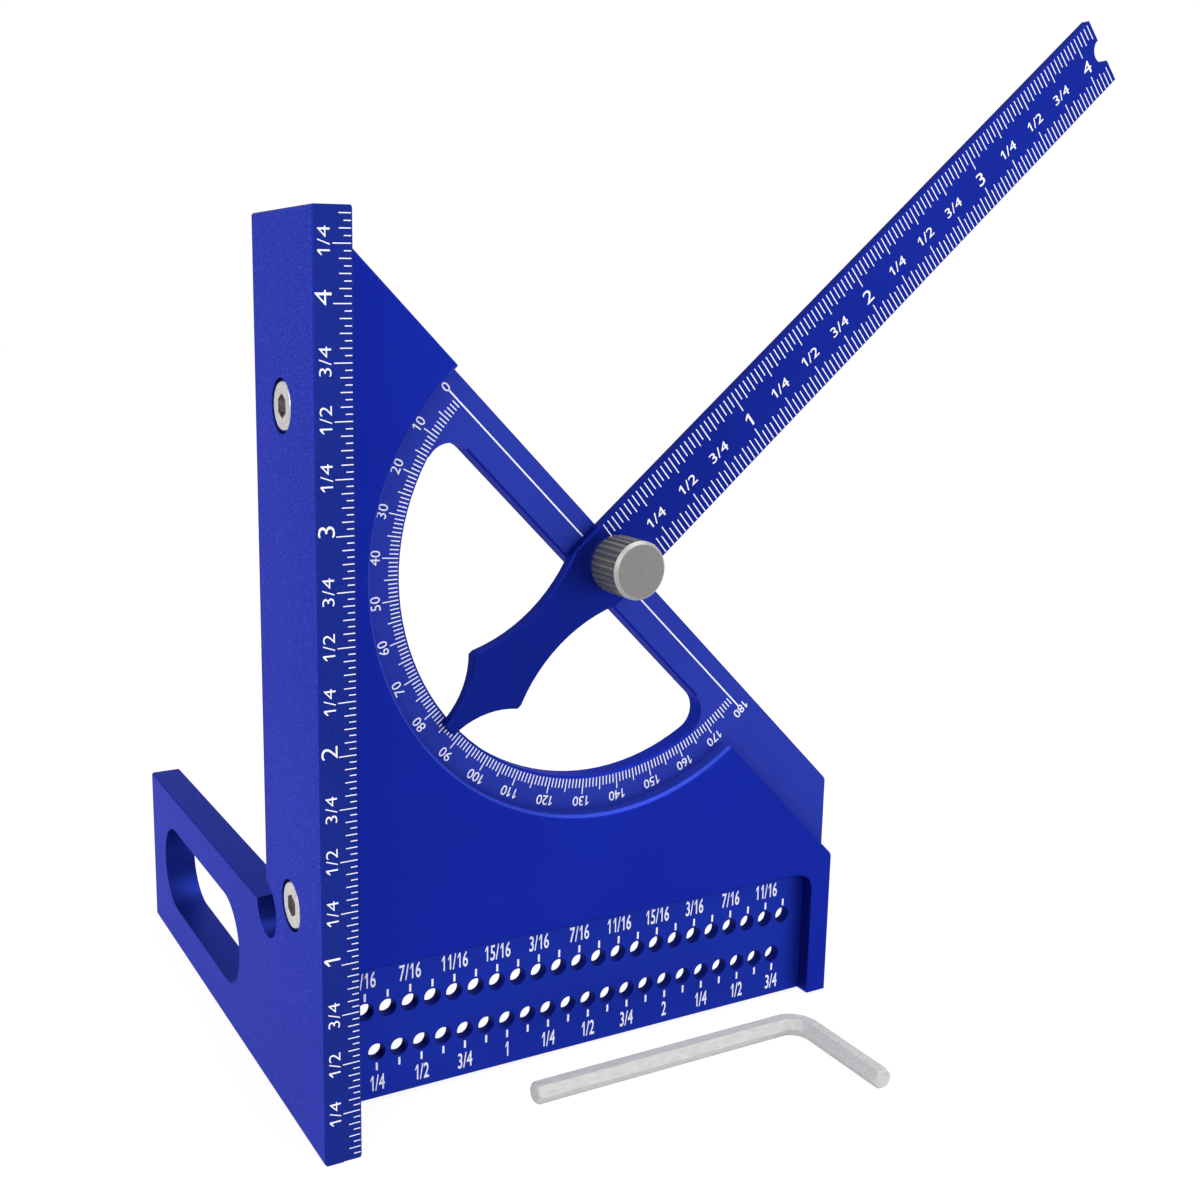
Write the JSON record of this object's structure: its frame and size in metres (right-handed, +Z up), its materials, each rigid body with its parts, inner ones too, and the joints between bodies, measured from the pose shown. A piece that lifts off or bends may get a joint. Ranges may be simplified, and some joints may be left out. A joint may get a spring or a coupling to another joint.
{
  "type": "adjustable angle protractor",
  "caption": "Blue aluminium corner fence with a protractor body, a swinging ruler arm clamped by a knurled knob, rows of scribing holes and a hex key.",
  "frame": {"origin": "middle of the underside of the fence's foot", "axes": "+X from the fence along the protractor body, +Y to the rear, away from the scales, +Z up"},
  "size_m": [0.1298, 0.0944, 0.1417],
  "materials": {
    "blue_anodised": "fine satin blue anodised",
    "turned_steel": "turned and knurled",
    "bright_steel": "bright",
    "plated_steel": "satin nickel plated",
    "white_nylon": "matte",
    "white_marking": "filled laser marking"
  },
  "bodies": {
    "square": {"fence_plate": "blue_anodised", "protractor_body": "blue_anodised", "friction_washer": "white_nylon", "pivot_stud": "bright_steel", "upper_fence_screw": "bright_steel", "lower_fence_screw": "bright_steel"},
    "arm": {"swing_arm": "blue_anodised"},
    "washer": {"thrust_washer": "bright_steel"},
    "knob": {"clamp_knob": "turned_steel"},
    "key": {"hex_key": "plated_steel"}
  },
  "joints": [
    {"name": "arm_swing", "type": "hinge", "parent": "square", "child": "arm", "pos_m": [0.0416, -0.03, 0.06855], "axis": [0, -1, 0], "range_deg": [-85, 82]},
    {"name": "knob_travel", "type": "slide", "parent": "square", "child": "washer", "axis": [0, -1, 0], "range_m": [0, 0.001]},
    {"name": "knob_turn", "type": "hinge", "parent": "washer", "child": "knob", "pos_m": [0.0416, -0.0345, 0.06855], "axis": [0, -1, 0], "range_deg": [0, 720]},
    {"name": "key_lift", "type": "slide", "parent": "square", "child": "key", "axis": [0, 0, 1], "range_m": [0, 0.05]}
  ],
  "couplings": [
    {"joint": "knob_turn", "follows": "knob_travel", "rad_per_m": 12566}
  ]
}
